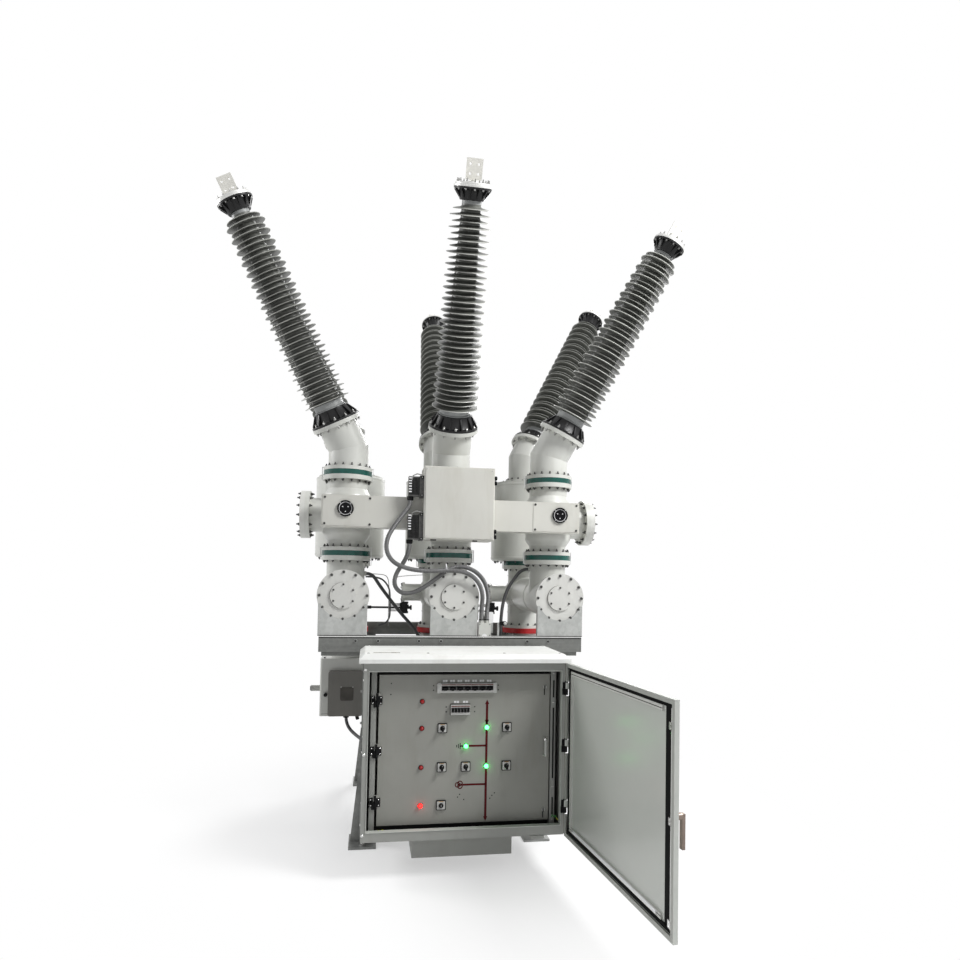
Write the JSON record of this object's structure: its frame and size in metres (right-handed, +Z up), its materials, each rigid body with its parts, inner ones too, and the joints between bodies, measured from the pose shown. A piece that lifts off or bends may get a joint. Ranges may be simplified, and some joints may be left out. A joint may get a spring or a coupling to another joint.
{
  "type": "three-phase hybrid gas-insulated switchgear bay",
  "caption": "Outdoor hybrid switchgear bay: gas tanks, current transformers and leaning ribbed bushings on a steel frame, with an open control cabinet.",
  "frame": {"origin": "on the ground, at the centre of the four feet's anchor holes", "axes": "+X right along the row of phases, +Y from the control cabinet to the back, +Z up"},
  "size_m": [3.066, 3.6991, 4.1976],
  "materials": {
    "light_grey": "satin",
    "galvanised": "matt",
    "ring_red": "satin",
    "insulator_green": "gloss",
    "shed_silicone": "matt",
    "casting_black": "matt",
    "terminal_metal": "satin",
    "cover_dark": "matt",
    "cabinet_grey": "satin",
    "bright_steel": "satin",
    "handle_black": "matt",
    "device_grey": "matt",
    "lamp_red": "gloss",
    "conduit_grey": "matt",
    "hose_black": "matt"
  },
  "bodies": {
    "bay": {"barrier_insulators": "insulator_green", "base_frame": "galvanised", "box_connectors": "casting_black", "breaker_tank_centre": "light_grey", "breaker_tank_left": "light_grey", "breaker_tank_right": "light_grey", "bushing_castings": "casting_black", "bushing_elbows": "light_grey", "bushings_front": "shed_silicone", "bushings_rear": "shed_silicone", "cabinet_rails": "galvanised", "cabinet_roof": "cabinet_grey", "cabinet_shell": "cabinet_grey", "cable_entries": "cabinet_grey", "conduit_lower": "conduit_grey", "conduit_mechanism": "hose_black", "conduit_upper": "conduit_grey", "cover_supports": "galvanised", "current_transformers": "light_grey", "disconnector_housings": "light_grey", "door_hinges": "casting_black", "drive_beams": "light_grey", "drive_mechanisms": "light_grey", "end_covers": "light_grey", "foot_rings": "ring_red", "gas_piping": "terminal_metal", "hose_left": "hose_black", "hose_right": "hose_black", "junction_box": "cabinet_grey", "legs": "galvanised", "mechanism_covers": "cover_dark", "operating_box": "light_grey", "panel_stiles": "cabinet_grey", "position_windows": "casting_black", "terminals": "terminal_metal"},
    "outer_door": {"cabinet_door": "cabinet_grey", "latch_rod": "bright_steel"},
    "door_lever": {"door_handle": "handle_black"},
    "panel": {"swing_panel": "cabinet_grey", "panel_devices": "device_grey", "indicator_lamps": "lamp_red"},
    "knob_1": {"switch_knob_1": "handle_black"},
    "knob_2": {"switch_knob_2": "handle_black"},
    "knob_3": {"switch_knob_3": "handle_black"},
    "knob_4": {"switch_knob_4": "handle_black"},
    "knob_5": {"switch_knob_5": "handle_black"}
  },
  "joints": [
    {"name": "outer_door_hinge", "type": "hinge", "parent": "bay", "child": "outer_door", "pos_m": [0.59, -1.206, 0.7], "axis": [0, 0, 1], "range_deg": [-95.4, 25]},
    {"name": "door_handle_turn", "type": "hinge", "parent": "outer_door", "child": "door_lever", "pos_m": [0.70973, -2.3026, 0.714], "axis": [0.9956, 0.0941, 0], "range_deg": [0, 90]},
    {"name": "swing_panel_hinge", "type": "hinge", "parent": "bay", "child": "panel", "pos_m": [-0.487, -1.121, 0.7], "axis": [0, 0, -1], "range_deg": [0, 95]},
    {"name": "switch_1_turn", "type": "hinge", "parent": "panel", "child": "knob_1", "pos_m": [-0.115, -1.125, 0.823], "axis": [0, 1, 0], "range_deg": [0, 90]},
    {"name": "switch_2_turn", "type": "hinge", "parent": "panel", "child": "knob_2", "pos_m": [0.261, -1.125, 0.823], "axis": [0, 1, 0], "range_deg": [0, 90]},
    {"name": "switch_3_turn", "type": "hinge", "parent": "panel", "child": "knob_3", "pos_m": [-0.115, -1.125, 0.602], "axis": [0, 1, 0], "range_deg": [0, 90]},
    {"name": "switch_4_turn", "type": "hinge", "parent": "panel", "child": "knob_4", "pos_m": [0.023, -1.125, 0.602], "axis": [0, 1, 0], "range_deg": [0, 90]},
    {"name": "switch_5_turn", "type": "hinge", "parent": "panel", "child": "knob_5", "pos_m": [0.261, -1.125, 0.602], "axis": [0, 1, 0], "range_deg": [0, 90]}
  ]
}
